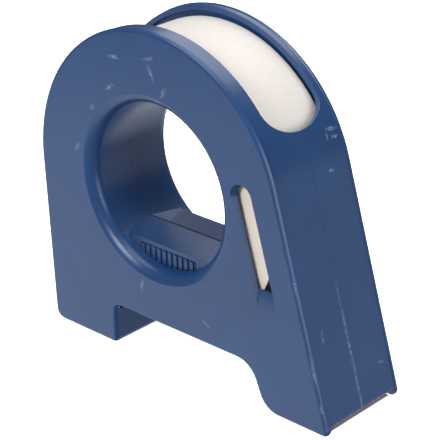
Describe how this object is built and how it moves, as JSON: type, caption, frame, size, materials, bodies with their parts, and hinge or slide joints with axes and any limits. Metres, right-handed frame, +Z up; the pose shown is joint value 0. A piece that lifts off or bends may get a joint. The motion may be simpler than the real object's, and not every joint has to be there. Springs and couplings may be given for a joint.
{
  "type": "masking tape dispenser",
  "caption": "Hand-held masking tape dispenser: two-half shell round a tape roll, with grip hole, view slot, latch button, roller and serrated cutter.",
  "frame": {"origin": "middle of the footprint, on the surface the dispenser stands on", "axes": "+Z up; +X towards the tape exit at the foot of the sloped front; -Y towards the side with the view slot and the ribbed button"},
  "size_m": [0.1508, 0.044, 0.1392],
  "materials": {
    "near_shell": "satin",
    "far_shell": "satin",
    "tape_roll": "matte",
    "tape_core": "matte",
    "roll_hub": "satin",
    "hub_drag_spring": "satin",
    "tape_leader": "matte",
    "pressure_roller": "satin",
    "roller_tyre": "matte",
    "roller_axle": "satin",
    "blade_holder": "satin",
    "cutter_blade": "satin",
    "holder_screw_low": "satin",
    "holder_screw_high": "satin",
    "latch_button": "satin",
    "latch_spring": "satin",
    "latch_jaw_left": "satin",
    "latch_jaw_right": "satin",
    "jaw_pin_left": "satin",
    "jaw_pin_right": "satin"
  },
  "bodies": {
    "far_case": {"far_shell": "far_shell", "hub_drag_spring": "hub_drag_spring", "tape_leader": "tape_leader", "roller_axle": "roller_axle", "blade_holder": "blade_holder", "cutter_blade": "cutter_blade", "holder_screw_low": "holder_screw_low", "holder_screw_high": "holder_screw_high"},
    "near_case": {"near_shell": "near_shell", "latch_spring": "latch_spring", "jaw_pin_left": "jaw_pin_left", "jaw_pin_right": "jaw_pin_right"},
    "button": {"latch_button": "latch_button"},
    "jaw_left": {"latch_jaw_left": "latch_jaw_left"},
    "jaw_right": {"latch_jaw_right": "latch_jaw_right"},
    "roll": {"tape_roll": "tape_roll", "tape_core": "tape_core", "roll_hub": "roll_hub"},
    "roller": {"pressure_roller": "pressure_roller", "roller_tyre": "roller_tyre"}
  },
  "joints": [
    {"name": "near_shell_pull", "type": "slide", "parent": "far_case", "child": "near_case", "axis": [0, -1, 0], "range_m": [0, 0.05]},
    {"name": "roll_spin", "type": "hinge", "parent": "far_case", "child": "roll", "pos_m": [-0.01146, 0, 0.0752], "axis": [0, 1, 0], "continuous": true},
    {"name": "roller_spin", "type": "hinge", "parent": "far_case", "child": "roller", "pos_m": [0.06371, 0, 0.0049], "axis": [0, 1, 0], "continuous": true},
    {"name": "button_press", "type": "slide", "parent": "near_case", "child": "button", "axis": [0, 1, 0], "range_m": [0, 0.0025], "stiffness_N_per_m": 600, "springref_m": -0.002, "deforming": ["latch_spring"]},
    {"name": "jaw_left_swing", "type": "hinge", "parent": "near_case", "child": "jaw_left", "pos_m": [-0.01606, -0.0028, 0.044], "axis": [0, 0, 1], "range_deg": [0, 10]},
    {"name": "jaw_right_swing", "type": "hinge", "parent": "near_case", "child": "jaw_right", "pos_m": [-0.00686, -0.0028, 0.044], "axis": [0, 0, -1], "range_deg": [0, 10]}
  ],
  "couplings": [
    {"joint": "roller_spin", "follows": "roll_spin", "ratio": -14.095},
    {"joint": "jaw_left_swing", "follows": "button_press", "rad_per_m": 69.5},
    {"joint": "jaw_right_swing", "follows": "button_press", "rad_per_m": 69.5}
  ]
}
